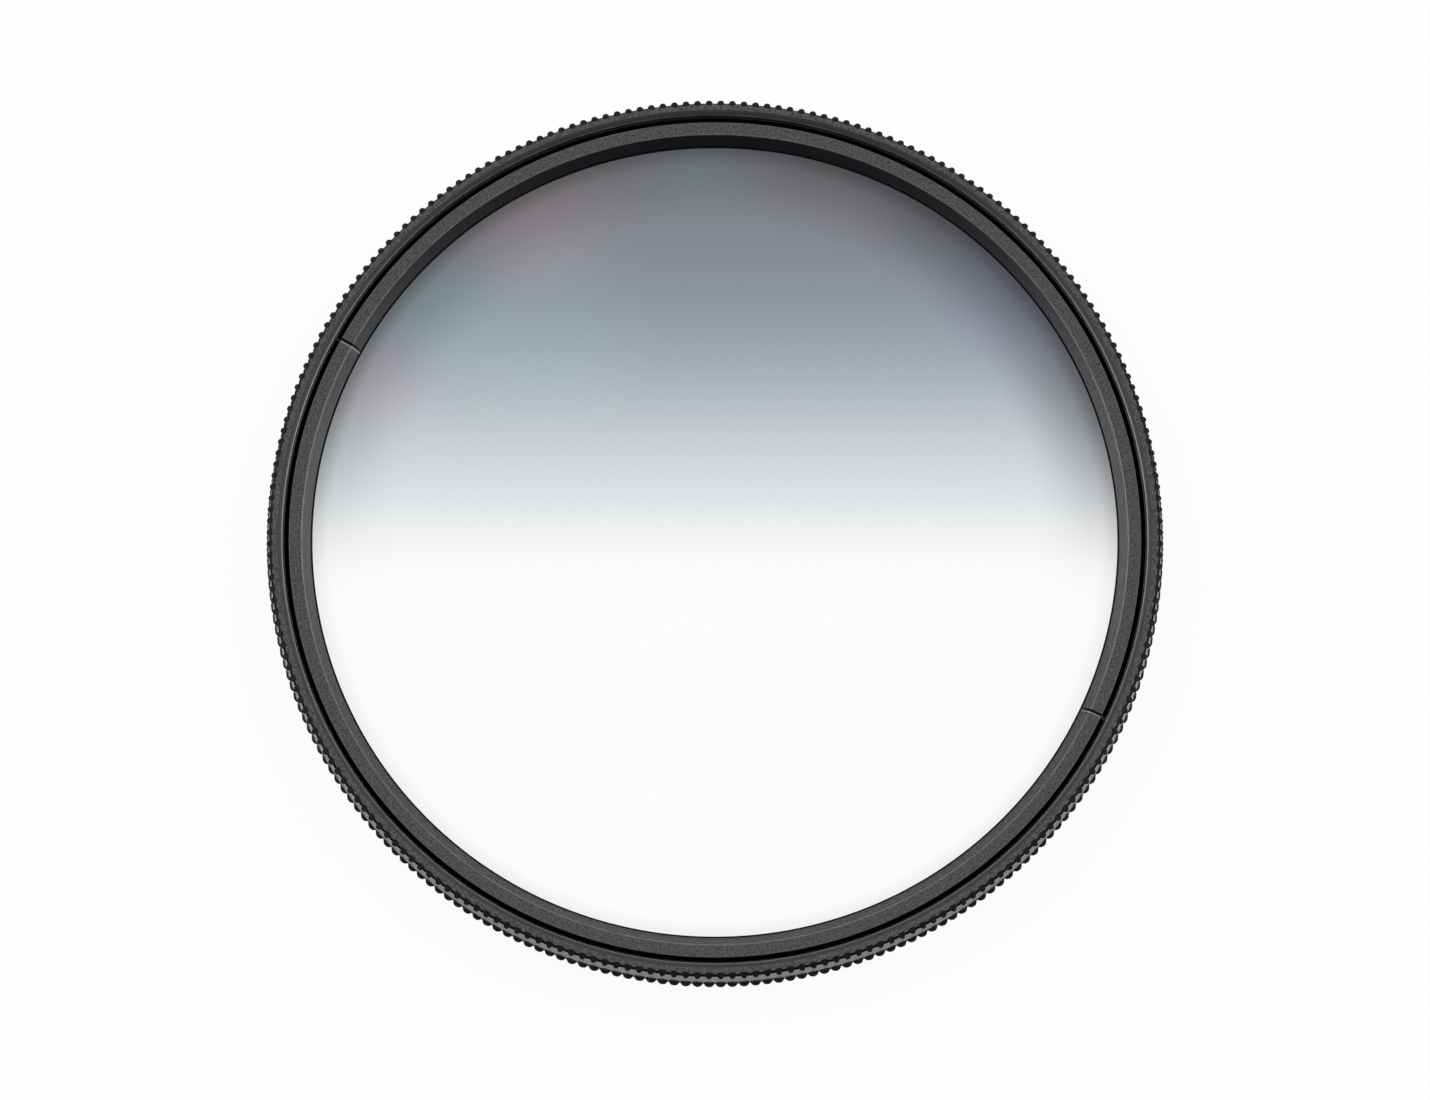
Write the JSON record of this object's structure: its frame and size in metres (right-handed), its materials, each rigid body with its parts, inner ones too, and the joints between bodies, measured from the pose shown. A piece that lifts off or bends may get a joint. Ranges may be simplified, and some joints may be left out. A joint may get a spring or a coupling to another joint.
{
  "type": "graduated neutral density filter",
  "caption": "Round screw-in camera lens filter with glass that runs from dark to clear, in a knurled metal mount whose front ring turns in the rear ring.",
  "frame": {"origin": "on the optical axis, at the rear end of the lens thread, which is the lowest point", "axes": "+Z along the optical axis towards the front, +Y towards the dark side of the glass at rest"},
  "size_m": [0.08, 0.08, 0.0066],
  "materials": {
    "anodised_frame": "black anodised, fine blasted",
    "graduated_glass": "polished and coated, dark on the +Y side and clear on the -Y side",
    "spring_steel": "bright drawn"
  },
  "bodies": {
    "rear_ring": {"rear_mount_ring": "anodised_frame", "snap_ring": "spring_steel"},
    "rotating_cell": {"front_rotating_ring": "anodised_frame", "retaining_ring": "anodised_frame", "filter_glass": "graduated_glass"}
  },
  "joints": [
    {"name": "front_ring_turn", "type": "hinge", "parent": "rear_ring", "child": "rotating_cell", "pos_m": [0, 0, 0.004], "axis": [0, 0, 1], "continuous": true}
  ]
}
